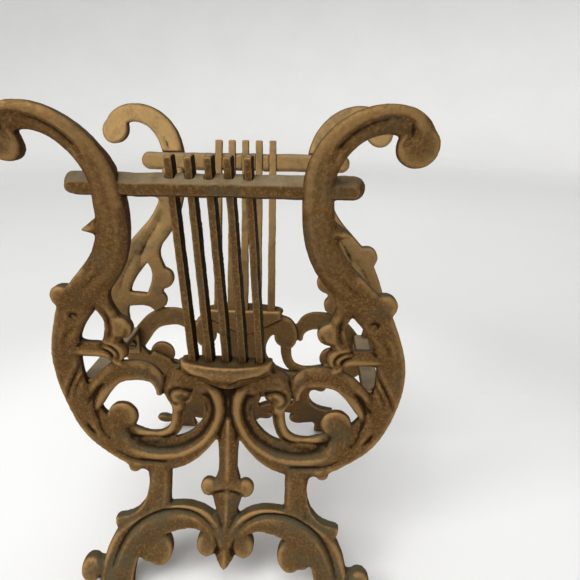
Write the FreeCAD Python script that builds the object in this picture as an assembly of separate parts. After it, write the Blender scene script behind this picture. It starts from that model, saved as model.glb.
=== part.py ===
"""Lyre magazine rack: two cast openwork lyre panels joined by two tie straps.

Units are millimetres and +Z is up.  The origin is at the middle of the footprint, on the floor.
Each panel is drawn as strokes in the XZ plane, on its right half, and mirrored in X.  The flat
drawing is pushed through a slab that is bowed in side view, so the panel leans out at the top,
is narrow at the waist and splays out at the feet.  The rear panel faces +Y and the front panel
is the same panel turned half way round.
"""
import FreeCAD, Part
import math
import os

V = FreeCAD.Vector
X_AXIS = V(1, 0, 0)
Y_AXIS = V(0, 1, 0)
Z_AXIS = V(0, 0, 1)
ORIGIN = V(0, 0, 0)

# Side profile of a panel: the distance of its outer face from the middle plane, by height.
WAIST_Z = 120.0
WAIST_Y = 41.0
LEAN_RATE = 0.0160
LEAN_POWER = 1.5
SPLAY_RATE = 0.0081
SPLAY_POWER = 1.8

# Depth of the casting from outer to inner face, by height: z and depth.
CASTING_DEPTHS = [
    (0, 8), (15, 8), (30, 8), (50, 8), (75, 8), (100, 8), (120, 8), (145, 8),
    (180, 8.5), (210, 9.5), (228, 11.5), (240, 12), (250, 10.5), (260, 8), (272, 7), (285, 7),
]
WAIST_DEPTH = 8.0

# Blanks larger than a panel, trimmed by the slab and by the drawing.
PRISM_DEPTH = 120.0
SLAB_HALF_WIDTH = 120.0

# Crossbar (yoke) that carries the strings between the arms.
BAR_Z = 239.0
BAR_HALF_LENGTH = 71.0
BAR_DEPTH = 9.5
BAR_INNER_HEIGHT = 12.0
BAR_OUTER_HEIGHT = 5.4
BAR_SET_BACK = 2.5
BAR_CHAMFER = 2.0

# Strings: tapered flat bars that stand in the shell-shaped seat and pass through the crossbar.
# Each end is a section: width of its outer face, width of its inner face and depth.
STRING_COUNT = 5
STRING_PITCH_SEAT = 9.7
STRING_PITCH_TOP = 9.1
STRING_TOP_SHIFT = 1.0
STRING_FOOT_SECTION = (4.2, 5.6, 7.0)
STRING_TOP_SECTION = (3.5, 4.8, 6.0)
STRING_OUTER_Y = 40.0
STRING_FOOT_Z = 135.0
STRING_TOP_Z = 253.6
STRING_LEAN = math.radians(8.4)

# Shell-shaped seat under the strings, part of the casting.
SEAT_TOP_Z = 139.0
SEAT_RIM_Z = 133.0
SEAT_TIP_Z = 121.0
SEAT_HALF_WIDTH = 26.5
SEAT_BACK_Y = 31.5
SEAT_REACH = 7.0
SEAT_TIP_HALF_WIDTH = 4.0
SEAT_TIP_REACH = 2.0

# Tie straps between the panels, with one turned-down tab and one screw at each end.  The tab
# starts thicker by the bite and is cut back to the curved inner face of the casting.
STRAP_X = 84.5
STRAP_WIDTH = 11.0
STRAP_THICKNESS = 3.5
STRAP_TOP_Z = 121.0
TAB_BOTTOM_Z = 102.0
TAB_BITE = 3.0
SCREW_Z = 109.5
SCREW_DIAMETER = 4.0
SCREW_GRIP = 4.5
SCREW_HEAD_DIAMETER = 7.6
SCREW_HEAD_HEIGHT = 2.4
SCREW_SLOT_WIDTH = 1.0

# Strokes of the right half of a panel.  Each point is x, z and the stroke's width there.
STROKES = {
    "arm": [
        (91, 261, 14), (86, 268.5, 12.5), (76, 270.5, 12), (64, 266.5, 12.5), (54.5, 257, 13.5),
        (50, 246, 14), (49.5, 232, 15), (51, 217, 16), (57, 201, 17), (68, 187, 18),
        (80, 173, 18), (89, 157, 15), (93.5, 140, 16), (94, 123, 16), (89.7, 107.7, 17),
        (81.5, 93, 17.5), (68.5, 82, 16), (56, 73.5, 12),
    ],
    "c_scroll": [
        (65, 98, 14), (66, 88, 18), (58, 79, 20), (44, 76, 19), (30, 77.5, 17), (18, 85, 14),
        (10, 96, 13), (8.5, 108, 13), (12, 119, 13), (20, 126.5, 13), (29, 126, 14),
        (32, 118, 13), (29, 110, 9),
    ],
    "hook": [
        (62, 88.5, 11), (52, 86, 9.5), (42, 86, 8.5), (34, 90.5, 7.5), (30.5, 99.5, 7.5),
        (30, 110, 8),
    ],
    "leaf": [
        (41.5, 114, 3), (41.5, 124, 9), (47, 129.3, 12.6), (57, 130.2, 13.4), (67, 127, 13),
        (76, 118, 13), (84, 107, 13),
    ],
    "cross_band": [(90, 145, 10.5), (78, 143.8, 9.6), (68, 142.5, 9.5), (62, 137, 10)],
    "inner_strand": [(64, 186, 11), (65.5, 174, 10), (62, 164, 10), (63.5, 154, 10), (67, 145, 10)],
    "arch": [
        (4, 30, 8), (9, 36.5, 10), (16, 40.5, 11.5), (25, 41.5, 13), (36, 39.5, 14.5), (47, 35, 16),
        (57.5, 28, 19), (63.3, 16.5, 19.6), (64, 5, 19.5), (64, -4, 20),
    ],
    "foot_tie": [(70, 12, 9), (80, 13, 8)],
}

# Round ends and lobes of the right half: x, z and radius.
LOBES = {
    "scroll_bulb": (90.5, 259.5, 9),
    "knob": (85.5, 178, 7.5),
    "ball": (59, 159.5, 7.5),
    "band_curl": (63.5, 143.5, 6.5),
    "volute": (64.5, 98.7, 9.2),
    "shoulder": (29.5, 117, 8),
    "belly_lobe": (57.5, 68.5, 4),
    "trefoil": (11.2, 58.3, 5.1),
    "centre_lobe": (11.2, 27.5, 6.2),
    "leg_lobe": (39.8, 23.6, 8),
    "leg_lobe_side": (46.5, 22.5, 5.5),
    "foot_ball": (80.6, 12.4, 6.4),
}

# Straight-sided pieces of the right half, as corner points x, z.
FACETS = {
    "arm_thorn": [(54, 227), (66.5, 217.5), (54, 213)],
    "web": [(0, 88), (10, 88), (12, 110), (12, 136), (0, 136)],
    "stem": [(0, 98), (7, 92), (5.8, 79), (5.6, 68), (7.5, 62), (9.5, 54), (0, 54)],
    "spike": [(0, 58), (9.3, 54), (8, 49.5), (5.5, 42), (3, 34), (0, 34)],
    "post": [(35, 74), (48.5, 74), (48.5, 44), (51, 38), (35, 38)],
    "post_web": [(57, 72), (55, 66.6), (51.5, 66.4), (49.5, 64.8), (48.5, 61), (46, 61), (46, 74)],
    "post_fillet": [(48, 60), (49.2, 52), (51.5, 47), (55.5, 42.8), (61, 40), (50, 36)],
    "leg_thorn": [(49, 43), (68.5, 38.8), (65.5, 30), (50, 34)],
    "centre_tip": [(0, 46), (7, 44), (9, 28), (5, 20), (2, 16), (0, 15.5)],
}

# Inner scrollwork that stands back on the middle-plane side, and the share of depth it keeps.
THIN_PIECES = ["hook", "leaf", "volute", "trefoil"]
THIN_SHARE = 0.62


def outer_face_y(z):
    """Distance of a panel's outer face from the middle plane at height z."""
    if z > WAIST_Z:
        return WAIST_Y + LEAN_RATE * (z - WAIST_Z) ** LEAN_POWER
    return WAIST_Y + SPLAY_RATE * (WAIST_Z - z) ** SPLAY_POWER


def smooth_edge(points):
    """One smooth curve through the points."""
    curve = Part.BSplineCurve()
    curve.interpolate(points)
    return curve.toShape()


def stroke_face(stroke):
    """A flat ribbon that follows the stroke's points at the stroke's widths."""
    centre = Part.BSplineCurve()
    centre.interpolate([V(x, 0, z) for x, z, _ in stroke])
    left = []
    right = []
    for x, z, width in stroke:
        point = V(x, 0, z)
        tangent = V(*centre.tangent(centre.parameter(point))[0])
        side = tangent.cross(Y_AXIS).normalize() * (width / 2)
        left.append(point + side)
        right.append(point - side)
    right.reverse()
    edges = [
        smooth_edge(left),
        Part.makeLine(left[-1], right[0]),
        smooth_edge(right),
        Part.makeLine(right[-1], left[0]),
    ]
    return Part.Face(Part.Wire(edges))


def disc_face(x, z, radius):
    """A flat disc in the panel's drawing."""
    return Part.Face(Part.Wire(Part.makeCircle(radius, V(x, 0, z), Y_AXIS)))


def facet_face(corners):
    """A flat straight-sided piece of the panel's drawing."""
    points = [V(x, 0, z) for x, z in corners]
    return Part.Face(Part.makePolygon(points + points[:1]))


def prism(face):
    """The face pushed outwards through the whole depth that a panel can occupy."""
    return face.extrude(V(0, PRISM_DEPTH, 0))


def bowed_slab(depth_share):
    """A curved slab with that share of the casting's depth, flat where it stands on the floor."""
    side_x = -SLAB_HALF_WIDTH
    outer = [V(side_x, outer_face_y(z), z) for z, _ in CASTING_DEPTHS]
    inner = [V(side_x, outer_face_y(z) - depth * depth_share, z) for z, depth in CASTING_DEPTHS]
    edges = [
        smooth_edge(outer),
        Part.makeLine(outer[-1], inner[-1]),
        smooth_edge(inner[::-1]),
        Part.makeLine(inner[0], outer[0]),
    ]
    return Part.Face(Part.Wire(edges)).extrude(V(2 * SLAB_HALF_WIDTH, 0, 0))


def seat_outline(z, half_width, reach):
    """D-shaped outline of the string seat at one height."""
    front = WAIST_Y
    back = SEAT_BACK_Y
    bow = Part.Arc(V(half_width, front, z), V(0, front + reach, z), V(-half_width, front, z))
    edges = [
        Part.makeLine(V(-half_width, back, z), V(half_width, back, z)),
        Part.makeLine(V(half_width, back, z), V(half_width, front, z)),
        bow.toShape(),
        Part.makeLine(V(-half_width, front, z), V(-half_width, back, z)),
    ]
    return Part.Wire(edges)


def string_seat():
    """A ledge with a bowed rim over a shell that tapers down to a small tip."""
    rim = seat_outline(SEAT_RIM_Z, SEAT_HALF_WIDTH, SEAT_REACH)
    ledge = Part.Face(rim).extrude(V(0, 0, SEAT_TOP_Z - SEAT_RIM_Z))
    tip = seat_outline(SEAT_TIP_Z, SEAT_TIP_HALF_WIDTH, SEAT_TIP_REACH)
    shell = Part.makeLoft([rim, tip], True, True)
    return ledge.fuse(shell)


def lean_outwards(shape, pivot):
    """Tilt a shape that stands upright so that its top leans away from the middle plane."""
    shape.rotate(pivot, X_AXIS, -math.degrees(STRING_LEAN))
    return shape


def string_section(base, section):
    """Trapezium across a string, its outer face centred on the base point."""
    outer_width, inner_width, depth = section
    corners = [
        base + V(-outer_width / 2, 0, 0), base + V(outer_width / 2, 0, 0),
        base + V(inner_width / 2, -depth, 0), base + V(-inner_width / 2, -depth, 0),
    ]
    return Part.makePolygon(corners + corners[:1])


def string_bar(index):
    """One string, upright in its own frame with its fan drift, then leaned into place."""
    step = index - (STRING_COUNT - 1) / 2
    foot = V(step * STRING_PITCH_SEAT, STRING_OUTER_Y, STRING_FOOT_Z)
    length = (STRING_TOP_Z - STRING_FOOT_Z) / math.cos(STRING_LEAN)
    top = V(step * STRING_PITCH_TOP + STRING_TOP_SHIFT, STRING_OUTER_Y, STRING_FOOT_Z + length)
    sections = [
        string_section(foot, STRING_FOOT_SECTION), string_section(top, STRING_TOP_SECTION),
    ]
    return lean_outwards(Part.makeLoft(sections, True, True), foot)


def crossbar():
    """Bar with a tall inner face, a low outer face and rounded ends, leaned with the strings."""
    outer_y = outer_face_y(BAR_Z) - BAR_SET_BACK
    inner_y = outer_y - BAR_DEPTH
    half_in = BAR_INNER_HEIGHT / 2
    half_out = BAR_OUTER_HEIGHT / 2
    steps = [
        (inner_y, half_in - BAR_CHAMFER), (inner_y + BAR_CHAMFER, half_in), (outer_y, half_out),
    ]
    upper = [V(0, y, BAR_Z + half) for y, half in steps]
    lower = [V(0, y, BAR_Z - half) for y, half in reversed(steps)]
    section = Part.Face(Part.makePolygon(upper + lower + upper[:1]))
    straight = BAR_HALF_LENGTH - half_in
    bar = section.extrude(V(2 * straight, 0, 0))
    bar.translate(V(-straight, 0, 0))
    for x in (-straight, straight):
        for (y_a, half_a), (y_b, half_b) in zip(steps, steps[1:]):
            bar = bar.fuse(Part.makeCone(half_a, half_b, y_b - y_a, V(x, y_a, BAR_Z), Y_AXIS))
    return lean_outwards(bar.removeSplitter(), V(0, outer_y, BAR_Z))


def drawn_faces():
    """Flat faces of the right half by name."""
    faces = {name: stroke_face(stroke) for name, stroke in STROKES.items()}
    faces.update({name: disc_face(*lobe) for name, lobe in LOBES.items()})
    faces.update({name: facet_face(corners) for name, corners in FACETS.items()})
    return faces


def lattice(faces, depth_share):
    """Both halves of the drawing, cut out of a slab with that share of the depth."""
    prisms = [prism(face) for face in faces]
    right = prisms[0].multiFuse(prisms[1:])
    left = right.mirror(ORIGIN, X_AXIS)
    return right.fuse(left).removeSplitter().common(bowed_slab(depth_share))


def lyre_blank():
    """The openwork casting before its sockets and holes are cut."""
    faces = drawn_faces()
    thin_faces = [faces.pop(name) for name in THIN_PIECES]
    frame = lattice(list(faces.values()), 1.0)
    scrollwork = lattice(thin_faces, THIN_SHARE)
    return frame.fuse(scrollwork).fuse(string_seat()).removeSplitter()


def screw_axis_start(x):
    """Centre of a screw's seat, on the middle-plane side of the strap's tab."""
    tab_inner_y = outer_face_y(SCREW_Z) - WAIST_DEPTH - STRAP_THICKNESS
    return V(x, tab_inner_y, SCREW_Z)


def strap_screw(x):
    """Slotted machine screw, its head towards the middle plane."""
    seat = screw_axis_start(x)
    shank_length = STRAP_THICKNESS + SCREW_GRIP
    shank = Part.makeCylinder(SCREW_DIAMETER / 2, shank_length, seat, Y_AXIS)
    head_base = seat - Y_AXIS * SCREW_HEAD_HEIGHT
    head = Part.makeCylinder(SCREW_HEAD_DIAMETER / 2, SCREW_HEAD_HEIGHT, head_base, Y_AXIS)
    slot_corner = head_base - V(SCREW_HEAD_DIAMETER / 2, 0, SCREW_SLOT_WIDTH / 2)
    slot = Part.makeBox(SCREW_HEAD_DIAMETER, SCREW_HEAD_HEIGHT / 2, SCREW_SLOT_WIDTH, slot_corner)
    return shank.fuse(head.cut(slot)).removeSplitter()


def tie_strap(x):
    """Flat strap across the rack with a turned-down tab against each casting."""
    tab_face_y = screw_axis_start(x).y
    reach = tab_face_y + STRAP_THICKNESS + TAB_BITE
    left_edge = x - STRAP_WIDTH / 2
    flat_corner = V(left_edge, -reach, STRAP_TOP_Z - STRAP_THICKNESS)
    strap = Part.makeBox(STRAP_WIDTH, 2 * reach, STRAP_THICKNESS, flat_corner)
    tab_height = STRAP_TOP_Z - TAB_BOTTOM_Z
    tab_corner = V(left_edge, tab_face_y, TAB_BOTTOM_Z)
    tab = Part.makeBox(STRAP_WIDTH, reach - tab_face_y, tab_height, tab_corner)
    return strap.fuse(tab).fuse(mirror_to_front(tab)).removeSplitter()


def mirror_to_front(shape):
    """The copy at the front panel of a piece at the rear panel, on the same side."""
    return shape.mirror(ORIGIN, Y_AXIS)


def turn_to_front(shape):
    """The front panel's copy of a piece of the rear panel, turned half way round."""
    turned = shape.copy()
    turned.rotate(ORIGIN, Z_AXIS, 180)
    return turned


def save(name, shape):
    """Write one node and print a line about it."""
    print(name, "solids", len(shape.Solids), "volume", round(shape.Volume), "valid", shape.isValid())
    shape.exportStep("parts/%s.step" % name)


def main():
    os.makedirs("parts", exist_ok=True)
    strings = [string_bar(index) for index in range(STRING_COUNT)]
    screws = [strap_screw(x) for x in (-STRAP_X, STRAP_X)]
    solid_bar = crossbar()
    casting = lyre_blank().cut(solid_bar).cut(Part.makeCompound(strings + screws))
    bar = solid_bar.cut(Part.makeCompound(strings))

    front_casting = turn_to_front(casting)
    front_strings = [turn_to_front(string) for string in reversed(strings)]
    panels = {
        "rear": (casting, bar, strings),
        "front": (front_casting, turn_to_front(bar), front_strings),
    }
    for side, (side_casting, side_bar, side_strings) in panels.items():
        save(side + "_lyre_casting", side_casting)
        save(side + "_crossbar", side_bar)
        for number, string in enumerate(side_strings, start=1):
            save("%s_string_%d" % (side, number), string)

    all_screws = screws + [mirror_to_front(screw) for screw in screws]
    both_castings = Part.makeCompound([casting, front_casting])
    for name, x in (("left_tie_strap", -STRAP_X), ("right_tie_strap", STRAP_X)):
        strap = tie_strap(x).cut(both_castings).cut(Part.makeCompound(all_screws))
        save(name, strap)
    save("strap_screws", Part.makeCompound(all_screws))


main()
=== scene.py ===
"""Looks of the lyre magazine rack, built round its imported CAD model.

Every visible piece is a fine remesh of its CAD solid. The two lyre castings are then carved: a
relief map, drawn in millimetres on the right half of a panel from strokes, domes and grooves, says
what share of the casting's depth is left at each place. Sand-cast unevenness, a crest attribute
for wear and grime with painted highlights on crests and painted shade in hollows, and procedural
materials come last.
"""

import math

import bpy
import numpy as np
from mathutils import Matrix, Vector, noise


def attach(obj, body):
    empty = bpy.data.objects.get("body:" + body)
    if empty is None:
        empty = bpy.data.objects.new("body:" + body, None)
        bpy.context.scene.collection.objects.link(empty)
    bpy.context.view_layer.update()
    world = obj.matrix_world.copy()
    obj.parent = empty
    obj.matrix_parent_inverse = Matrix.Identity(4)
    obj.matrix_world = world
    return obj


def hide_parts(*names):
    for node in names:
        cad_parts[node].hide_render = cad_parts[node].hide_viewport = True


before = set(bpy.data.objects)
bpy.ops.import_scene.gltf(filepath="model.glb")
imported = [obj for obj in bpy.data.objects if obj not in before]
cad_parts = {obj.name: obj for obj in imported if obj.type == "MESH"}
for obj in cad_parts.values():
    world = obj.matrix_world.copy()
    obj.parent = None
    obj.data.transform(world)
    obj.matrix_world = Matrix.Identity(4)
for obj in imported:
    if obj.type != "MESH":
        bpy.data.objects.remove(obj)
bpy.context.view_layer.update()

MM = 0.001
X_AXIS = np.array((1, 0, 0))
Z_AXIS = np.array((0, 0, 1))

# Point in metres that the lamps look at.
RACK_MIDDLE = (0, 0, 0.14)

# Side profile of a panel, as in the CAD model: outer face by height, and depth behind it.
WAIST_Z = 120.0
WAIST_Y = 41.0
LEAN_RATE = 0.0160
LEAN_POWER = 1.5
SPLAY_RATE = 0.0081
SPLAY_POWER = 1.8
DEPTH_HEIGHTS = [0, 145, 180, 210, 228, 240, 250, 260, 272, 285]
DEPTHS = [8, 8, 8.5, 9.5, 11.5, 12, 10.5, 8, 7, 7]

# Relief map: its extent on the half panel and its cell size in mm, and how often it is averaged
# at the end.
MAP_WIDTH = 106.0
MAP_HEIGHT = 282.0
CELL = 0.5
RELIEF_BLUR = 5

# Shares of the depth: where nothing is drawn, in the sunk web between the C-scrolls (half width,
# lowest and highest z), at the rim of a dome, next to the inner face, where carving stops, and
# the least that carving leaves.
BASE_SHARE = 0.6
WEB_SHARE = 0.42
WEB_EXTENT = (9, 88, 136)
DOME_EDGE = 0.78
KEPT_BACK = 0.35
LOWEST_SHARE = KEPT_BACK + 0.02

# Multiples of the half width: how far out a stroke counts, and how far from a stroke and from a
# groove the map is searched.
STROKE_OVERLAP = 1.08
STROKE_SEARCH = 1.3
GROOVE_SEARCH = 3

# A groove fades out towards both ends: the share of its length cut off there, and how bluntly.
GROOVE_END = 0.02
GROOVE_TAPER = 0.35

# The string seat: z where its shell starts and where it is widest, its half widths there, and the
# z of its top; then what its layers keep below the lip and on the drop under it.
SEAT_LOW = 121
SEAT_WIDEST = 133
SEAT_HALF_WIDTHS = (4, 26.5)
SEAT_TOP = 140
SHELL_SHARE = 0.4
DROP_SHARE = 0.7
DROP_HALF_WIDTH = 4.2
DROP_LOW = 122

# Inner faces: the share of the depth that counts as the face itself, how much their edges lose,
# and how sharply. The edge is found by averaging a filled map this often.
INNER_FACE_SHARE = 0.1
INNER_ROUNDING = 0.24
INNER_EDGE_POWER = 1.5
INNER_EDGE_BLUR = 24

# Recesses get painted shade with grime: how often the map is averaged to give the surroundings,
# how strongly a recess counts, and its limits.
SURROUNDINGS_BLUR = 200
RECESS_GRIME_AND_SHADE = 2.2
RECESS_LIMITS = (-0.3, 0.9)

# Sizes in mm of the lumps of the sand-cast skin, and the crest height that counts as fully worn
# and fully given the painted highlight.
COARSE_LUMPS = 5.0
FINE_LUMPS = 1.8
FULL_CREST = 0.5

# Cross profiles of strokes: place across from -1 to 1 (1 is on the left of the way that the
# stroke runs) and share of the level there.
PROFILES = {
    "round": [(-1, 0.70), (-0.85, 0.83), (-0.5, 0.95), (0, 1), (0.5, 0.95), (0.85, 0.83), (1, 0.70)],
    "arm": [(-1, 0.64), (-0.8, 0.80), (-0.45, 0.96), (0, 1), (0.35, 0.97), (0.75, 0.84), (1, 0.66)],
    "scroll": [(-1, 0.72), (-0.8, 0.90), (-0.4, 1), (-0.05, 0.96), (0.3, 0.86), (0.7, 0.80), (1, 0.66)],
    "belly": [(-1, 0.66), (-0.75, 0.86), (-0.3, 0.95), (0.2, 1), (0.6, 0.96), (0.85, 0.92), (1, 0.85)],
    "trough": [(-1, 0.56), (-0.7, 0.48), (-0.3, 0.44), (0.2, 0.48), (0.6, 0.62), (1, 0.72)],
    "rim": [(-1, 0.48), (-0.7, 0.70), (-0.25, 0.96), (0, 1), (0.3, 0.97), (0.7, 0.88), (1, 0.80)],
    "shelf": [(-1, 0.70), (-0.75, 0.86), (-0.3, 0.88), (0, 0.80), (0.35, 0.64), (1, 0.48)],
    "leaf": [(-1, 0.78), (-0.85, 0.93), (-0.5, 0.94), (0, 0.87), (0.5, 0.88), (0.85, 0.78), (1, 0.66)],
    "rod": [(-1, 0.58), (-0.6, 0.70), (-0.1, 0.88), (0.35, 1), (0.7, 0.93), (1, 0.72)],
    "arch": [(-1, 0.84), (-0.8, 0.92), (-0.3, 0.97), (0.1, 1), (0.45, 0.94), (0.62, 0.90), (0.82, 0.98),
             (0.93, 0.92), (1, 0.80)],
    "roof": [(-1, 0.66), (-0.9, 0.72), (-0.15, 0.96), (0, 1), (0.15, 0.96), (0.9, 0.72), (1, 0.66)],
    "flat": [(-1, 0.70), (-0.66, 0.95), (0, 1), (0.66, 0.95), (1, 0.70)],
}

# Strokes of the half panel: profile, level and points x, z, width.
STROKES = [
    ("scroll", 1.0, [(91, 261, 14), (86, 268.5, 12.5), (76, 270.5, 12), (64, 266.5, 12.5),
                     (54.5, 257, 13.5), (50, 246, 14), (49.5, 232, 15)]),
    ("arm", 1.0, [(54.5, 257, 13.5), (50, 246, 14), (49.5, 232, 15), (51, 217, 16), (57, 201, 17),
                  (68, 187, 18), (80, 173, 18)]),
    ("belly", 1.0, [(68, 187, 18), (80, 173, 18), (89, 157, 15), (93.5, 140, 16), (94, 123, 16),
                    (89.7, 107.7, 17), (81.5, 93, 17.5), (68.5, 82, 16), (56, 73.5, 12)]),
    ("belly", 0.9, [(68, 81, 14), (57, 74, 11), (44, 71.3, 9.5), (30, 73.5, 9), (19, 78.5, 9),
                    (10, 87.5, 8)]),
    ("trough", 1.0, [(65, 98, 14), (66, 88, 18), (58, 79, 20), (44, 76, 19), (30, 77.5, 17),
                     (18, 85, 14), (10, 96, 13), (8.5, 108, 13), (12, 119, 13)]),
    ("rim", 1.0, [(65, 101, 15), (69.5, 94, 14), (69, 86.5, 13), (63, 80.5, 10), (54, 77, 8.5),
                  (44, 75.6, 7.5), (33, 76.3, 7.5), (24, 79.3, 7.5), (15, 85.5, 7), (9.3, 93.5, 7),
                  (6.2, 102, 6.5), (6.4, 111, 7), (9.8, 119, 8), (16, 124.8, 10), (24, 127, 11)]),
    ("round", 0.98, [(65, 100, 17), (66.5, 93, 15.5), (65.5, 86.5, 12), (62, 81, 9)]),
    ("round", 0.98, [(14, 122, 12), (20, 125, 14), (27, 124.5, 15), (31.5, 119, 14), (32, 112, 11),
                     (31, 107, 8)]),
    ("shelf", 1.0, [(62, 88.5, 11), (52, 86, 9.5), (42, 86, 8.5), (34, 90.5, 7.5), (30.5, 99.5, 7.5),
                    (30, 110, 8)]),
    ("leaf", 1.0, [(41.5, 114, 3), (41.5, 124, 9), (47, 129.3, 12.6), (57, 130.2, 13.4),
                   (67, 127, 13), (76, 118, 13), (84, 107, 13)]),
    ("rod", 0.95, [(90, 145, 10.5), (78, 143.8, 9.6), (68, 142.5, 9.5), (62, 137, 10)]),
    ("round", 0.9, [(64, 186, 11), (65.5, 174, 10), (62, 164, 10), (63.5, 154, 10), (67, 145, 10)]),
    ("arch", 1.0, [(4, 30, 8), (9, 36.5, 10), (16, 40.5, 11.5), (25, 41.5, 13), (36, 39.5, 14.5),
                   (47, 35, 16), (57.5, 28, 19), (63.3, 16.5, 19.6), (64, 5, 19.5), (64, -4, 20)]),
    ("round", 0.85, [(70, 12, 9), (80, 13, 8)]),
    ("roof", 0.97, [(0, 98, 5), (0, 92, 12), (0, 80, 12), (0, 68, 12), (0, 60, 18), (0, 54, 20)]),
    ("roof", 0.92, [(0, 58, 19), (0, 49.5, 16), (0, 42, 11), (0, 34, 6)]),
    ("round", 0.97, [(0, 61, 8), (6, 58.5, 8.5), (11.2, 58.3, 9.5)]),
    ("flat", 0.95, [(41.8, 68, 13.5), (41.8, 56, 13.5), (41.8, 42, 14)]),
    ("round", 0.86, [(47, 70, 9), (53, 70, 8), (57, 69, 7)]),
    ("round", 0.86, [(46, 58, 6), (48.5, 50, 9), (54, 42.5, 11), (62, 37.5, 9), (69, 36, 7)]),
    ("roof", 0.85, [(52, 220, 15), (60, 218.5, 8), (66.5, 217.5, 2)]),
    ("roof", 0.88, [(0, 46, 14), (0, 30, 18), (0, 20, 10), (0, 15, 3)]),
]

# Domes of the half panel: x, z, radius and level.
LOBES = [
    (90.5, 259.5, 9, 1.0),
    (85.5, 178, 7.5, 1.0),
    (59, 159.5, 7.5, 1.0),
    (63.5, 143.5, 6.5, 0.92),
    (65, 100, 9.2, 1.0),
    (29.5, 117, 6, 0.84),
    (57.5, 68.5, 4, 0.86),
    (11.2, 58.3, 5.1, 0.97),
    (11.2, 27.5, 6.2, 0.96),
    (39.8, 23.6, 8, 0.95),
    (46.5, 22.5, 5.5, 0.9),
    (80.6, 12.4, 6.4, 0.96),
]

# Carved lines: half width in mm, share of depth taken away (raised where negative), points x, z.
GROOVES = [
    (0.9, 0.20, [(54, 252), (58, 260), (66, 267), (76, 270.8), (83, 271), (86.8, 268.5), (86.5, 264),
                 (84, 260.5)]),
    (0.8, 0.24, [(69, 78.8), (62, 75), (55, 72.9), (48, 72.2), (38, 72.2)]),
    (0.8, 0.26, [(60, 85), (52, 86.5), (45, 87), (39, 86.8), (33.5, 88.5)]),
    (3.2, 0.16, [(64, 91.5), (60, 89.5), (56, 86)]),
    (1.3, 0.12, [(13, 103), (15, 110), (19, 115), (24, 118)]),
    (1.0, 0.20, [(24, 118.6), (29, 120), (33.6, 118), (35, 114), (33.4, 110.6), (30, 109.2)]),
    (0.9, -0.08, [(20, 112.5), (25, 116), (29.5, 117), (32.3, 114.5), (31.4, 111.8)]),
    (1.6, 0.14, [(79, 104), (79, 96), (76.5, 89), (72, 84.5)]),
    (1.0, 0.20, [(74, 121), (79, 114), (81.5, 106), (80.5, 98)]),
    (1.0, 0.18, [(61, 150.5), (58.2, 146), (58, 139.5)]),
    (0.8, 0.26, [(72, 148), (66.5, 147.4), (62.8, 144.8), (61.8, 141), (63.5, 137.6)]),
    (1.2, 0.26, [(71, 145), (67.5, 143.5), (65.6, 140.8), (66.5, 138)]),
    (0.7, -0.08, [(72, 149.6), (65.5, 149), (61, 145.6), (60, 141), (62.5, 136.6)]),
    (0.7, -0.08, [(70, 146.4), (65.8, 144.9), (63.8, 141.2), (65, 137.8)]),
    (0.7, 0.20, [(53.5, 160), (56, 154.5), (61, 153)]),
    (1.6, 0.22, [(66, 172), (63.8, 165), (64.2, 157), (67, 151.5)]),
    (0.9, 0.24, [(84, 138), (89.5, 127.5), (94.5, 118), (97, 111)]),
    (0.8, 0.20, [(79, 131), (86, 125), (91, 117.5), (92.5, 112)]),
    (1.4, 0.16, [(76.5, 119), (82, 112.5), (85, 107)]),
    (0.8, 0.14, [(75.5, 162), (78, 156), (81.5, 149)]),
    (0.8, 0.14, [(84, 160), (90, 153.5), (92, 147)]),
    (0.7, 0.22, [(79, 166.5), (81.5, 169), (84, 167.5), (82.5, 165)]),
    (1.4, 0.22, [(86.5, 94.5), (84.5, 91), (81.5, 88)]),
    (1.0, 0.07, [(46, 123), (47, 129), (45.5, 134.5)]),
    (0.9, 0.12, [(59, 198), (66, 191), (74, 184)]),
    (0.85, 0.34, [(67, 15), (64.8, 22), (61.5, 28.5), (57, 34), (50, 39.5), (40, 43.8), (30, 45.2),
                  (22, 44.6), (15, 42), (10, 38.5), (6.5, 35)]),
    (0.8, 0.20, [(10.5, 54.8), (6, 56.2), (0, 57.2)]),
    (1.0, 0.20, [(6.5, 33.5), (4.6, 28), (4.5, 22.5)]),
]

# Lines on the castings' inner faces, in the same form.
INNER_GROOVES = [
    (1.6, 0.10, [(52, 244), (53, 250), (57, 256)]),
    (2.4, 0.14, [(57, 206), (64, 194), (71, 183), (75, 172), (74, 160), (71, 150)]),
    (2.4, 0.12, [(72, 181), (81, 172), (88, 160), (92, 146)]),
    (2.0, 0.10, [(30, 127), (40, 131), (50, 129)]),
]

# Lower edge of the seat's lip: places x, z.
LIP_BOTTOM = [(0, 125.5), (3, 126.5), (5.5, 129.5), (8, 131.8), (13, 132.5), (20, 133.5), (25, 136),
              (28, 139)]


def outer_face_y(z):
    """Distance in mm of a panel's outer face from the middle plane at heights z in mm."""
    above = np.maximum(z - WAIST_Z, 0)
    below = np.maximum(WAIST_Z - z, 0)
    return WAIST_Y + LEAN_RATE * above ** LEAN_POWER + SPLAY_RATE * below ** SPLAY_POWER


# ---------------------------------------------------------------------------- relief map

MAP_X, MAP_Z = np.meshgrid(np.arange(0, MAP_WIDTH, CELL), np.arange(0, MAP_HEIGHT, CELL))


def smooth_path(points, step=0.5):
    """Points along a Catmull-Rom curve, about one every step mm; all columns are interpolated."""
    points = np.array(points, float)
    padded = np.vstack([2 * points[0] - points[1], points, 2 * points[-1] - points[-2]])
    samples = []
    for before, start, end, after in zip(padded, padded[1:], padded[2:], padded[3:]):
        count = max(2, int(np.hypot(*(end - start)[:2]) / step))
        t = np.linspace(0, 1, count, endpoint=False)[:, None]
        samples.append(0.5 * (2 * start + (end - before) * t
                              + (2 * before - 5 * start + 4 * end - after) * t ** 2
                              + (3 * start - before - 3 * end + after) * t ** 3))
    samples.append(points[-1:])
    return np.vstack(samples)


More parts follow.
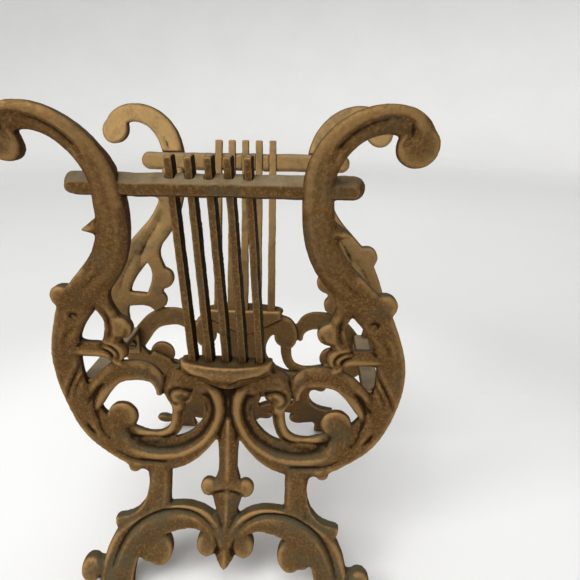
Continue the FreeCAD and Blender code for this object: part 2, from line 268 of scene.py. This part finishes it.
def nearest_on_path(path, reach):
    """For each map cell, the distance to the path and the index of its nearest sample."""
    distance = np.full(MAP_X.shape, np.inf)
    index = np.zeros(MAP_X.shape, int)
    for number, (x, z) in enumerate(path):
        columns = slice(max(0, int((x - reach) / CELL)), max(0, int((x + reach) / CELL) + 2))
        rows = slice(max(0, int((z - reach) / CELL)), max(0, int((z + reach) / CELL) + 2))
        away = np.hypot(MAP_X[rows, columns] - x, MAP_Z[rows, columns] - z)
        closer = away < distance[rows, columns]
        distance[rows, columns][closer] = away[closer]
        index[rows, columns][closer] = number
    return distance, index


def add_stroke(relief, profile, level, points):
    """Raise the map to a band with the named cross profile."""
    samples = smooth_path(points)
    path = samples[:, :2]
    half_width = samples[:, 2] / 2
    tangent = np.gradient(path, axis=0)
    tangent /= np.hypot(tangent[:, 0], tangent[:, 1])[:, None]
    distance, index = nearest_on_path(path, half_width.max() * STROKE_SEARCH)
    offset_x = MAP_X - path[index, 0]
    offset_z = MAP_Z - path[index, 1]
    across = offset_z * tangent[index, 0] - offset_x * tangent[index, 1]
    across = np.sign(across) * distance / half_width[index]
    places, shares = np.transpose(PROFILES[profile])
    height = level * np.interp(across, places, shares)
    height[~(np.abs(across) < STROKE_OVERLAP)] = 0
    return np.maximum(relief, height)


def add_lobe(relief, x, z, radius, level):
    """Raise the map to a dome."""
    away = np.hypot(MAP_X - x, MAP_Z - z) / radius
    dome = DOME_EDGE + (level - DOME_EDGE) * np.sqrt(np.clip(1 - away ** 2, 0, 1))
    return np.maximum(relief, np.where(away < 1, dome, 0))


def cut_groove(relief, half_width, depth, points):
    """Lower the map along a line, fading out at both ends."""
    path = smooth_path(points)
    distance, index = nearest_on_path(path, half_width * GROOVE_SEARCH)
    along = GROOVE_END + (1 - 2 * GROOVE_END) * index / len(path)
    fade = np.sin(np.pi * along) ** GROOVE_TAPER
    return relief - depth * fade * np.exp(-(distance / half_width) ** 2)


def blurred(relief, passes):
    """The map after repeated averaging of neighbouring cells."""
    for _ in range(passes):
        padded = np.pad(relief, 1, mode="edge")
        relief = (padded[1:-1, 1:-1] * 2 + padded[:-2, 1:-1] + padded[2:, 1:-1]
                  + padded[1:-1, :-2] + padded[1:-1, 2:]) / 6
    return relief


def relief_map():
    """Share of the casting's depth that is left, over the half panel."""
    relief = np.full(MAP_X.shape, BASE_SHARE)
    half_width, low, high = WEB_EXTENT
    relief[(MAP_X < half_width) & (MAP_Z > low) & (MAP_Z < high)] = WEB_SHARE
    for stroke in STROKES:
        relief = add_stroke(relief, *stroke)
    for lobe in LOBES:
        relief = add_lobe(relief, *lobe)
    for groove in GROOVES:
        relief = cut_groove(relief, *groove)
    relief[seat_mask()] = 1.0
    return np.clip(blurred(relief, RELIEF_BLUR), LOWEST_SHARE, 1.0)


def seat_mask():
    """Cells under the shell-shaped seat, which keeps the casting's full depth."""
    half_width = np.interp(MAP_Z, (SEAT_LOW, SEAT_WIDEST), SEAT_HALF_WIDTHS)
    return (MAP_X < half_width) & (MAP_Z > SEAT_LOW) & (MAP_Z < SEAT_TOP)


def seat_layers():
    """Share that is left of what stands before the outer face: the seat's lip, then its drop."""
    lip_bottom = np.interp(MAP_X, *np.transpose(LIP_BOTTOM))
    layers = np.where(MAP_Z > lip_bottom, 1.0, SHELL_SHARE)
    layers[(MAP_Z <= lip_bottom) & (MAP_X < DROP_HALF_WIDTH) & (MAP_Z > DROP_LOW)] = DROP_SHARE
    return blurred(layers, 2)


def inner_lines():
    """Share of the depth that the lines of the inner face cut away."""
    lines = np.zeros(MAP_X.shape)
    for groove in INNER_GROOVES:
        lines = cut_groove(lines, *groove)
    return -lines


def inside_map(x, z):
    """0 at the silhouette of a casting and outside it, 1 a few mm inside; x, z fill its face."""
    filled = np.zeros(MAP_X.shape)
    filled[(z / CELL + 0.5).astype(int), (x / CELL + 0.5).astype(int)] = 1
    without_gaps = np.where(blurred(filled, 3) > 0.2, 1.0, 0.0)
    return np.clip(blurred(without_gaps, INNER_EDGE_BLUR) * 2 - 1, 0, 1)


def sample_map(relief, x, z):
    """The map's value at places x, z in mm, between cells."""
    column = np.clip(x / CELL, 0, relief.shape[1] - 1.001)
    row = np.clip(z / CELL, 0, relief.shape[0] - 1.001)
    left = column.astype(int)
    low = row.astype(int)
    right_part = column - left
    high_part = row - low
    lower = relief[low, left] * (1 - right_part) + relief[low, left + 1] * right_part
    upper = relief[low + 1, left] * (1 - right_part) + relief[low + 1, left + 1] * right_part
    return lower * (1 - high_part) + upper * high_part


# ---------------------------------------------------------------------------- mesh work

def applied(piece):
    """Replace a piece's mesh by its evaluated mesh and drop its modifiers."""
    depsgraph = bpy.context.evaluated_depsgraph_get()
    mesh = bpy.data.meshes.new_from_object(piece.evaluated_get(depsgraph))
    piece.modifiers.clear()
    old = piece.data
    piece.data = mesh
    bpy.data.meshes.remove(old)


def tube(points):
    """Vertices and faces of a closed tube through points x, y, z, radius in mm."""
    samples = smooth_path(points, step=1.0)
    path = samples[:, :3]
    tangents = np.gradient(path, axis=0)
    sides = 14
    vertices = []
    for centre, tangent, radius in zip(path, tangents, samples[:, 3]):
        along = Vector(tangent).normalized()
        across = along.cross(Vector((0, 0, 1)) if abs(along.z) < 0.9 else Vector((1, 0, 0)))
        across.normalize()
        other = along.cross(across)
        for number in range(sides):
            angle = 2 * math.pi * number / sides
            spoke = across * math.cos(angle) + other * math.sin(angle)
            vertices.append((Vector(centre) + spoke * radius) * MM)
    faces = []
    for ring in range(len(path) - 1):
        for number in range(sides):
            a = ring * sides + number
            b = ring * sides + (number + 1) % sides
            faces.append((a, b, b + sides, a + sides))
    last = (len(path) - 1) * sides
    faces.append(tuple(range(sides))[::-1])
    faces.append(tuple(range(last, last + sides)))
    return vertices, faces


def remeshed(name, node, voxel, extras=()):
    """A new piece: a CAD node's solid with extra solids, remeshed to voxels of that size in mm."""
    vertices = [vertex.co.copy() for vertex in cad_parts[node].data.vertices]
    faces = [tuple(face.vertices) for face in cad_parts[node].data.polygons]
    for extra_vertices, extra_faces in extras:
        start = len(vertices)
        vertices += extra_vertices
        faces += [tuple(corner + start for corner in face) for face in extra_faces]
    mesh = bpy.data.meshes.new(name)
    mesh.from_pydata(vertices, [], faces)
    piece = bpy.data.objects.new(name, mesh)
    bpy.context.scene.collection.objects.link(piece)
    remesh = piece.modifiers.new("voxels", "REMESH")
    remesh.mode = "VOXEL"
    remesh.voxel_size = voxel * MM
    applied(piece)
    return piece


def get_points(mesh):
    """A mesh's vertices in mm."""
    flat = np.empty(len(mesh.vertices) * 3)
    mesh.vertices.foreach_get("co", flat)
    return flat.reshape(-1, 3) / MM


def set_points(mesh, points):
    """Put vertices given in mm into the mesh."""
    mesh.vertices.foreach_set("co", (points * MM).ravel())
    mesh.update()


def smoothed(mesh, points, passes):
    """The points after repeated moves halfway towards the mean of their neighbours."""
    edges = np.empty(len(mesh.edges) * 2, int)
    mesh.edges.foreach_get("vertices", edges)
    first, second = edges.reshape(-1, 2).T
    count = len(points)
    degree = np.bincount(first, minlength=count) + np.bincount(second, minlength=count)
    degree = np.maximum(degree, 1)
    for _ in range(passes):
        mean = np.empty_like(points)
        for axis in range(3):
            mean[:, axis] = np.bincount(first, points[second, axis], count)
            mean[:, axis] += np.bincount(second, points[first, axis], count)
            mean[:, axis] /= degree
        points = (points + mean) / 2
    return points


def vertex_normals(mesh):
    """A mesh's vertex normals."""
    flat = np.empty(len(mesh.vertices) * 3)
    mesh.vertices.foreach_get("normal", flat)
    return flat.reshape(-1, 3)


def uneven(points, size, seed):
    """Smooth noise from -1 to 1 for each point, with lumps of that size in mm."""
    shift = Vector((seed * 17.3, seed * 5.1, seed * 9.7))
    return np.array([noise.noise(Vector(point) / size + shift) for point in points])


def finish_casting(piece, seed, soften=3, lumps=0.14, crest_passes=14, keep_faces=1.0, recess=0.0):
    """Soften a piece, give it sand-cast unevenness and record its crests and hollows."""
    mesh = piece.data
    points = smoothed(mesh, get_points(mesh), soften)
    set_points(mesh, points)
    averaged = smoothed(mesh, points, crest_passes)
    crest = np.einsum("ij,ij->i", points - averaged, vertex_normals(mesh))
    push = uneven(points, COARSE_LUMPS, seed) + uneven(points, FINE_LUMPS, seed + 1) / 2
    points = points + vertex_normals(mesh) * lumps * push[:, None]
    points[:, 2] = np.maximum(points[:, 2], 0)
    set_points(mesh, points)
    attribute = mesh.attributes.new("crest", "FLOAT", "POINT")
    # Crests above 0 get wear and a painted highlight; hollows and recesses below 0 get painted shade.
    wear_highlight_and_shade = np.clip(crest / FULL_CREST, -1, 1) - recess
    attribute.data.foreach_set("value", np.clip(wear_highlight_and_shade, -1, 1).astype(np.float32))
    if keep_faces < 1:
        decimate = piece.modifiers.new("fewer_faces", "DECIMATE")
        decimate.ratio = keep_faces
        applied(piece)
    piece.data.shade_smooth()


# ---------------------------------------------------------------------------- materials

class Nodes:
    """Short helpers for building one material's node tree."""

    def __init__(self, name):
        self.material = bpy.data.materials.new(name)
        self.material.use_nodes = True
        self.tree = self.material.node_tree
        self.shader = self.tree.nodes["Principled BSDF"]

    def add(self, kind, **settings):
        node = self.tree.nodes.new(kind)
        for key, value in settings.items():
            setattr(node, key, value)
        return node

    def feed(self, socket, value):
        """Link an output to a socket, or set the socket to a plain value."""
        if isinstance(value, bpy.types.NodeSocket):
            self.tree.links.new(value, socket)
        else:
            socket.default_value = value

    def place(self):
        return self.add("ShaderNodeTexCoord").outputs["Object"]

    def normal(self):
        return self.add("ShaderNodeNewGeometry").outputs["Normal"]

    def part(self, axis, vector):
        """One axis, X, Y or Z, of a vector."""
        split = self.add("ShaderNodeSeparateXYZ")
        self.feed(split.inputs["Vector"], vector)
        return split.outputs[axis]

    def noise(self, scale, detail=4.0, roughness=0.55):
        """Noise from 0 to 1 with that many cells to the metre."""
        texture = self.add("ShaderNodeTexNoise")
        self.feed(texture.inputs["Vector"], self.place())
        texture.inputs["Scale"].default_value = scale
        texture.inputs["Detail"].default_value = detail
        texture.inputs["Roughness"].default_value = roughness
        return texture.outputs["Fac"]

    def ramp(self, value, low, high, start=0.0, end=1.0):
        """A smooth step from start, where the value is low, to end, where it is high."""
        node = self.add("ShaderNodeMapRange", interpolation_type="SMOOTHSTEP")
        self.feed(node.inputs["Value"], value)
        node.inputs["From Min"].default_value = low
        node.inputs["From Max"].default_value = high
        node.inputs["To Min"].default_value = start
        node.inputs["To Max"].default_value = end
        return node.outputs["Result"]

    def wobble(self, scale, detail, most):
        """Noise from -most to most."""
        return self.ramp(self.noise(scale, detail), 0.3, 0.7, -most, most)

    def math(self, operation, first, second=0.0):
        node = self.add("ShaderNodeMath", operation=operation)
        self.feed(node.inputs[0], first)
        self.feed(node.inputs[1], second)
        return node.outputs["Value"]

    def mix(self, share, first, second):
        """The first colour with that share of the second over it."""
        node = self.add("ShaderNodeMix", data_type="RGBA")
        self.feed(node.inputs["Factor"], share)
        self.feed(node.inputs["A"], first)
        self.feed(node.inputs["B"], second)
        return node.outputs["Result"]

    def distance_from_middle(self):
        node = self.add("ShaderNodeVectorMath", operation="LENGTH")
        self.feed(node.inputs["Vector"], self.place())
        return node.outputs["Value"]

    def upper_inside_light(self):
        """Painted light: strongest on upper faces that look at the rack's middle, 0 on outward faces."""
        panel_side = self.math("SIGN", self.part("Y", self.place()))
        facing_out = self.math("MULTIPLY", self.part("Y", self.normal()), panel_side)
        inside = self.ramp(facing_out, -0.35, -0.8)
        return self.math("MULTIPLY", inside, self.ramp(self.part("Z", self.place()), 0.10, 0.22, 0.15, 0.85))

    def bump(self, height, strength, distance):
        node = self.add("ShaderNodeBump")
        node.inputs["Strength"].default_value = strength
        node.inputs["Distance"].default_value = distance
        self.feed(node.inputs["Height"], height)
        self.feed(self.shader.inputs["Normal"], node.outputs["Normal"])


def colour(red, green, blue):
    """An opaque linear colour."""
    return (red, green, blue, 1.0)


def painted(nodes, ragged, paint, crest_wear_and_highlight, grime_and_shade):
    """Speckled bronze paint filmed with dust; painted light makes the upper inner faces gold, crests
    bright with wear and a painted highlight, and hollows and side walls dark with painted shade.
    """
    patches = nodes.noise(45, 5)
    speckle = nodes.noise(700, 3, 0.7)
    tone = nodes.mix(nodes.ramp(patches, 0.35, 0.65), paint, colour(*[c * 0.86 for c in paint[:3]]))
    tone = nodes.mix(nodes.ramp(speckle, 0.5, 0.72, 0, 0.5), tone, crest_wear_and_highlight)
    tone = nodes.mix(nodes.ramp(speckle, 0.5, 0.3, 0, 0.35), tone, grime_and_shade)
    # Painted light: the upper inner faces, lit from above, turn gold.
    tone = nodes.mix(nodes.upper_inside_light(), tone, PAINTED_LIGHT_GOLD)
    more_at_feet = nodes.ramp(nodes.part("Z", nodes.place()), 0.10, 0.02, 0, 0.10)
    film = nodes.math("ADD", nodes.noise(60, 6, 0.65), more_at_feet)
    tone = nodes.mix(nodes.ramp(film, 0.48, 0.72, 0, 0.65), tone, DUST)
    # Crests turn to the bright paint: wear and a painted highlight.
    tone = nodes.mix(nodes.ramp(ragged, 0.10, 0.85, 0, 0.9), tone, crest_wear_and_highlight)
    # Painted shade: hollows darken to the grime colour, and deep ones once more.
    tone = nodes.mix(nodes.ramp(ragged, -0.05, -0.6, 0, 0.95), tone, grime_and_shade)
    tone = nodes.mix(nodes.ramp(ragged, -0.15, -0.6, 0, 0.6), tone, grime_and_shade)
    # Painted shade on the side walls of the relief.
    shaded_walls = nodes.ramp(nodes.math("ABSOLUTE", nodes.part("Y", nodes.normal())), 0.62, 0.18, 0, 0.6)
    return nodes.mix(shaded_walls, tone, grime_and_shade)


def aged_bronze_with_painted_light(name, paint, crest_wear_and_highlight, grime_and_shade, top_dust_and_light, dust_and_light_share=0.8, raw_and_shaded_sides=0.0):
    """Old bronze paint on rough cast iron: crests with wear and a painted highlight, hollows with
    painted shade, and dusty tops that also carry painted light in the beige dust colours.
    """
    nodes = Nodes(name)
    crest = nodes.add("ShaderNodeAttribute", attribute_name="crest").outputs["Fac"]
    ragged = nodes.math("ADD", crest, nodes.wobble(420, 4, 0.08))
    tone = painted(nodes, ragged, paint, crest_wear_and_highlight, grime_and_shade)
    # Dust on upward faces; with the beige dust colours of bars, strings and straps it is also painted light
    # on their tops.
    upward = nodes.ramp(nodes.part("Z", nodes.normal()), 0.35, 0.9)
    flat_top = nodes.math("MULTIPLY", upward, nodes.ramp(ragged, 0.6, 0.2))
    top_patches = nodes.ramp(nodes.noise(120, 5), 0.25, 0.6, 0.35, dust_and_light_share)
    dust_and_top_light = nodes.math("MULTIPLY", flat_top, top_patches)
    tone = nodes.mix(dust_and_top_light, tone, top_dust_and_light)
    shine = nodes.math("SUBTRACT", 1.0, dust_and_top_light)
    # Sideways faces of the strings: raw iron and painted shade, in the grime colour.
    if raw_and_shaded_sides:
        sideways = nodes.math("ABSOLUTE", nodes.part("X", nodes.normal()))
        chipped = nodes.math("ADD", sideways, nodes.wobble(180, 5, 0.14))
        raw_and_shaded = nodes.ramp(chipped, 0.62, 0.80, 0, raw_and_shaded_sides)
        tone = nodes.mix(raw_and_shaded, tone, grime_and_shade)
        shine = nodes.math("MULTIPLY", shine, nodes.math("SUBTRACT", 1.0, raw_and_shaded))
    shader = nodes.shader.inputs
    nodes.feed(shader["Base Color"], tone)
    nodes.feed(shader["Metallic"], nodes.math("MULTIPLY", shine, 0.7))
    nodes.feed(shader["Specular IOR Level"], nodes.math("MULTIPLY", shine, 0.5))
    nodes.feed(shader["Specular Tint"], crest_wear_and_highlight)
    nodes.feed(shader["IOR"], 1.25)
    rough = nodes.ramp(nodes.noise(320, 4), 0.3, 0.7, 0.36, 0.54)
    nodes.feed(shader["Roughness"], nodes.math("ADD", rough, nodes.math("MULTIPLY", dust_and_top_light, 0.3)))
    pits = nodes.math("ADD", nodes.noise(900, 5, 0.65), nodes.math("MULTIPLY", nodes.noise(2600, 3), 0.5))
    nodes.bump(pits, 0.8, 0.0006)
    return nodes.material


def set_material(piece, material):
    """Give a piece this material only."""
    piece.data.materials.clear()
    piece.data.materials.append(material)


# ---------------------------------------------------------------------------- pieces

def settle(piece, node, material):
    """Let a piece with that material stand for its CAD node."""
    set_material(piece, material)
    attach(piece, "root")
    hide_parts(node)


def mirrored_half(points):
    """Points x, y, z, radius of a tube over both halves, from those of the right half."""
    left = [(-x, y, z, radius) for x, y, z, radius in reversed(points) if x > 0]
    return left + points


def seat_lip(side):
    """Solids of the seat's rolled lip and its two-layer drop, on the front or rear panel."""
    lip = [(0, 46.5, 133.5, 4.2), (6, 46.2, 133.6, 3.8), (11, 45.4, 134.3, 3.4), (16, 44, 134.2, 3.9),
           (21, 42, 135, 3.6), (25, 39.5, 137, 2.8), (26.8, 38, 138.6, 1.8)]
    pendant = [(0, 45.8, 130.5, 3.8), (0, 44.6, 127.5, 3.2)]
    drop = [(0, 43.3, 126, 2.8), (0, 42.2, 123.8, 2.2)]
    solids = []
    for points in (mirrored_half(lip), pendant, drop):
        placed = [(x, side * y, z, radius) for x, y, z, radius in points]
        solids.append(tube(placed))
    return solids


def carve(piece, relief, side):
    """Press a casting's outer face in by the relief map and cut the lines of its inner face.

    What stands before the outer face, the seat, moves along and gets its own layers.
    """
    points = get_points(piece.data)
    x = np.abs(points[:, 0])
    y = points[:, 1] * side
    z = points[:, 2]
    depth = np.interp(z, DEPTH_HEIGHTS, DEPTHS)
    inner = outer_face_y(z) - depth
    share = (y - inner) / depth
    left = sample_map(relief, x, z)
    pressed = KEPT_BACK + (share - KEPT_BACK) * (left - KEPT_BACK) / (1 - KEPT_BACK)
    pressed = np.where(share < 1, pressed, left + (share - 1) * sample_map(seat_layers(), x, z))
    at_back = share < INNER_FACE_SHARE
    edge = (1 - inside_map(x[at_back], z[at_back])) ** INNER_EDGE_POWER
    inner_cut = inner_lines() + INNER_ROUNDING * edge
    cut = sample_map(inner_cut, x, z) * np.clip(1 - share / KEPT_BACK, 0, 1)
    share = np.where(share < KEPT_BACK, share + cut, pressed)
    points[:, 1] = (inner + share * depth) * side
    set_points(piece.data, points)


def recess_at(piece, hollows, side):
    """How far the outer face lies below its surroundings, at each of a casting's vertices."""
    points = get_points(piece.data)
    height = points[:, 2]
    middle = outer_face_y(height) - np.interp(height, DEPTH_HEIGHTS, DEPTHS) * (1 - KEPT_BACK)
    outside = points[:, 1] * side > middle
    below = sample_map(hollows, np.abs(points[:, 0]), height)
    return np.where(outside, np.clip(below * RECESS_GRIME_AND_SHADE, *RECESS_LIMITS), 0)


def lyre_castings(material):
    """Both castings, carved from their CAD solids."""
    relief = relief_map()
    hollows = blurred(relief, SURROUNDINGS_BLUR) - relief
    for seed, (name, side) in enumerate((("front", -1), ("rear", 1)), start=1):
        node = name + "_lyre_casting"
        piece = remeshed(name + "_lyre_relief", node, voxel=0.65, extras=seat_lip(side))
        carve(piece, relief, side)
        # Recesses below their surroundings get painted shade through the crest attribute.
        recess = recess_at(piece, hollows, side)
        finish_casting(piece, seed * 10, soften=4, keep_faces=0.30, recess=recess)
        settle(piece, node, material)


def make_wavy(piece, push, along, most, wave_length, seed):
    """Bend a bar by up to that many mm towards push, in waves of that length in mm along it."""
    points = get_points(piece.data)
    points += np.outer(most * uneven(points * along, wave_length, seed), push)
    set_points(piece.data, points)


def string_bars(material):
    """The strings: slightly wavy cast bars with worn edges."""
    for seed, node in enumerate(sorted(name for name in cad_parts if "_string_" in name), start=30):
        piece = remeshed(node + "_bar", node, voxel=0.5)
        make_wavy(piece, X_AXIS, Z_AXIS, most=0.25, wave_length=22.0, seed=seed)
        finish_casting(piece, seed, soften=2, lumps=0.16, keep_faces=0.35)
        settle(piece, node, material)


def crossbars(material):
    """Both crossbars, slightly wavy along their length."""
    for seed, name in enumerate(("front", "rear"), start=50):
        node = name + "_crossbar"
        piece = remeshed(name + "_crossbar_bar", node, voxel=0.5)
        make_wavy(piece, Z_AXIS, X_AXIS, most=0.35, wave_length=14.0, seed=seed)
        finish_casting(piece, seed, soften=3, lumps=0.18, keep_faces=0.4)
        settle(piece, node, material)


def straps_and_screws(strap_material, screw_material):
    """The tie straps and their screws, only softened and roughened."""
    for seed, side in enumerate(("left", "right"), start=60):
        node = side + "_tie_strap"
        piece = remeshed(side + "_tie_strap_bar", node, voxel=0.6)
        finish_casting(piece, seed, soften=2, lumps=0.12, keep_faces=0.5)
        settle(piece, node, strap_material)
    piece = remeshed("strap_screws_worn", "strap_screws", voxel=0.3)
    finish_casting(piece, 65, soften=1, lumps=0.03, keep_faces=0.5)
    settle(piece, "strap_screws", screw_material)


# ---------------------------------------------------------------------------- stage

def stage_material():
    """Pale paper with painted light: a bright pool round the rack, a darker ring of painted shade,
    and brighter again far away.
    """
    nodes = Nodes("pale_paper")
    away = nodes.distance_from_middle()
    # Painted light and shade on the floor, by distance from the rack.
    tone = nodes.mix(nodes.ramp(away, 0.22, 0.42), colour(0.84, 0.84, 0.83), colour(0.70, 0.70, 0.69))
    tone = nodes.mix(nodes.ramp(away, 1.2, 4.0), tone, colour(0.90, 0.90, 0.89))
    tone = nodes.mix(nodes.ramp(nodes.noise(3, 3), 0.3, 0.7, 0.0, 0.06), tone, colour(0.5, 0.5, 0.5))
    nodes.feed(nodes.shader.inputs["Base Color"], tone)
    nodes.shader.inputs["Roughness"].default_value = 0.8
    return nodes.material


def make_stage():
    """A wide pale dish: flat floor, curved cove and low wall, the same from every side."""
    flat_radius = 2.4
    cove_radius = 1.2
    wall_top = 2.6
    cove_steps = 12
    profile = [(0.0, 0.0), (flat_radius, 0.0)]
    for step in range(1, cove_steps + 1):
        angle = math.radians(90 * step / cove_steps)
        profile.append((flat_radius + cove_radius * math.sin(angle), cove_radius * (1 - math.cos(angle))))
    profile.append((flat_radius + cove_radius, wall_top))
    sides = 96
    vertices = [(0, 0, 0)]
    for radius, z in profile[1:]:
        for number in range(sides):
            angle = 2 * math.pi * number / sides
            vertices.append((radius * math.cos(angle), radius * math.sin(angle), z))
    faces = [(0, 1 + number, 1 + (number + 1) % sides) for number in range(sides)]
    for ring in range(len(profile) - 2):
        for number in range(sides):
            a = 1 + ring * sides + number
            b = 1 + ring * sides + (number + 1) % sides
            faces.append((a, a + sides, b + sides, b))
    mesh = bpy.data.meshes.new("floor")
    mesh.from_pydata(vertices, [], faces)
    mesh.shade_smooth()
    floor = bpy.data.objects.new("floor", mesh)
    bpy.context.scene.collection.objects.link(floor)
    set_material(floor, stage_material())


def aimed(light, place, target):
    """Put a light at a place, facing the target."""
    light.location = place
    light.rotation_euler = (Vector(target) - Vector(place)).to_track_quat("-Z", "Y").to_euler()
    bpy.context.scene.collection.objects.link(light)


def soft_lamp(name, place, size, power):
    """A round area light that looks at the rack."""
    lamp = bpy.data.lights.new(name, "AREA")
    lamp.shape = "DISK"
    lamp.size = size
    lamp.energy = power
    aimed(bpy.data.objects.new(name, lamp), place, RACK_MIDDLE)


def make_lights():
    """Light from above, a soft window at the left, a weak lamp behind and daylight all round."""
    sun = bpy.data.lights.new("overhead", "SUN")
    sun.energy = 1.55
    sun.angle = math.radians(45)
    sun.color = (1.0, 0.985, 0.96)
    aimed(bpy.data.objects.new("overhead", sun), (-0.3, -0.6, 2.1), RACK_MIDDLE)
    soft_lamp("window", (-0.95, -0.65, 1.0), 0.6, 9)
    soft_lamp("back", (0.2, 1.2, 1.1), 0.8, 3)
    world = bpy.data.worlds.new("soft_daylight")
    world.use_nodes = True
    background = world.node_tree.nodes["Background"]
    background.inputs["Color"].default_value = (0.94, 0.96, 1.0, 1.0)
    background.inputs["Strength"].default_value = 0.34
    bpy.context.scene.world = world
    bpy.context.scene.view_settings.view_transform = "Standard"


def make_camera():
    """Camera close in front of the rack, a little right of its middle, looking down."""
    place = (0.0471, -0.2689, 0.2739)
    yaw = math.radians(2.73)
    pitch = math.radians(21.37)
    roll = math.radians(0.75)
    data = bpy.data.cameras.new("camera")
    data.sensor_width = 36.0
    data.lens = 28.68
    data.clip_start = 0.01
    camera = bpy.data.objects.new("camera", data)
    turn = Matrix.Rotation(yaw, 4, "Z") @ Matrix.Rotation(math.pi / 2 - pitch, 4, "X")
    turn = turn @ Matrix.Rotation(roll, 4, "Z")
    camera.matrix_world = Matrix.Translation(place) @ turn
    bpy.context.scene.collection.objects.link(camera)
    bpy.context.scene.camera = camera


# ---------------------------------------------------------------------------- build

# Paint in the open; painted light on the upper inner faces; bright paint for worn crests and
# painted highlights; grime, also drawn as painted shade; dust in hollows.
PAINT = colour(0.148, 0.077, 0.028)
PAINTED_LIGHT_GOLD = colour(0.40, 0.255, 0.105)
CREST_WEAR_AND_HIGHLIGHT = colour(0.38, 0.225, 0.088)
GRIME_AND_SHADE = colour(0.026, 0.015, 0.007)
DUST = colour(0.095, 0.084, 0.050)

lyre_castings(aged_bronze_with_painted_light("casting_bronze", PAINT, CREST_WEAR_AND_HIGHLIGHT, GRIME_AND_SHADE, DUST))
# Bars, strings and straps get beige dust colours: dust and painted light on their tops.
crossbars(aged_bronze_with_painted_light("crossbar_bronze", PAINT, CREST_WEAR_AND_HIGHLIGHT, GRIME_AND_SHADE, colour(0.29, 0.235, 0.145)))
string_bars(aged_bronze_with_painted_light("string_bronze", PAINT, CREST_WEAR_AND_HIGHLIGHT, GRIME_AND_SHADE, colour(0.33, 0.27, 0.17), raw_and_shaded_sides=0.95))
straps_and_screws(
    aged_bronze_with_painted_light("strap_bronze", colour(0.27, 0.19, 0.10), CREST_WEAR_AND_HIGHLIGHT, GRIME_AND_SHADE, colour(0.30, 0.24, 0.16)),
    aged_bronze_with_painted_light("screw_iron", colour(0.10, 0.075, 0.045), CREST_WEAR_AND_HIGHLIGHT, GRIME_AND_SHADE, DUST, dust_and_light_share=0.5),
)
make_stage()
make_lights()
make_camera()
